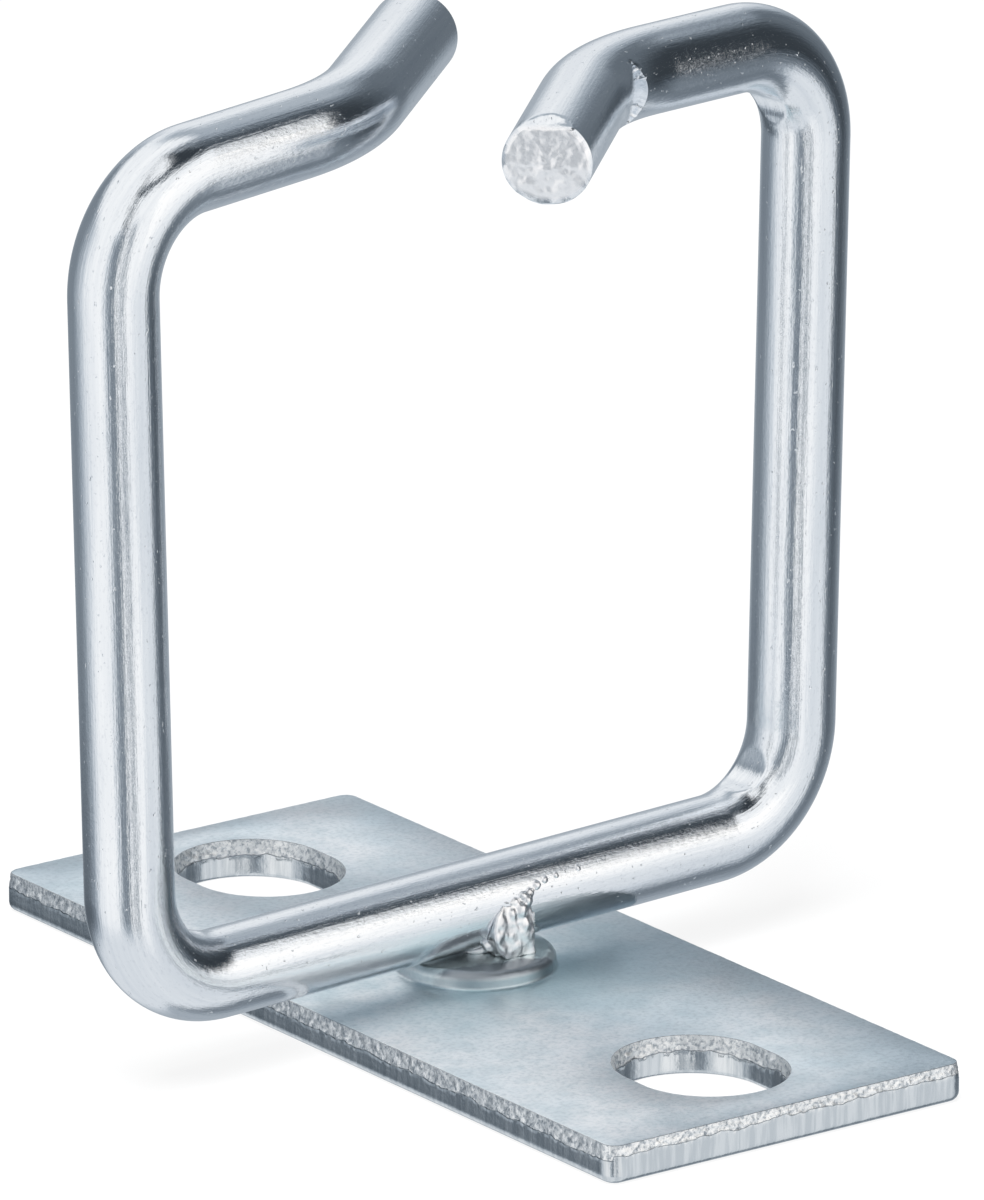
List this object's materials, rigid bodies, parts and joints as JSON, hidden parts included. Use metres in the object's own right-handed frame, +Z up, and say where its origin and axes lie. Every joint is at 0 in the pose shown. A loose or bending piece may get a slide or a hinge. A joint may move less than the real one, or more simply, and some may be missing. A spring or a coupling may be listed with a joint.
{
  "type": "cable management ring",
  "caption": "Open square ring of bent steel wire welded across a small slotted mounting plate, for holding cables along a rack upright.",
  "frame": {"origin": "centre of the plate's underside, midway between its two slotted holes", "axes": "+Z up out of the plate, +Y along the plate from hole to hole, +X across it, which is along the ring's width"},
  "size_m": [0.0414, 0.044, 0.042],
  "materials": {
    "plated_wire": "bright zinc plated drawn wire, glossy with fine draw lines",
    "plated_sheet": "bright zinc plated sheet, satin and faintly mottled",
    "plated_weld": "lumpy plated weld metal"
  },
  "bodies": {
    "root": {"wire_ring": "plated_wire", "base_plate": "plated_sheet", "weld_bead": "plated_weld"}
  },
  "joints": []
}
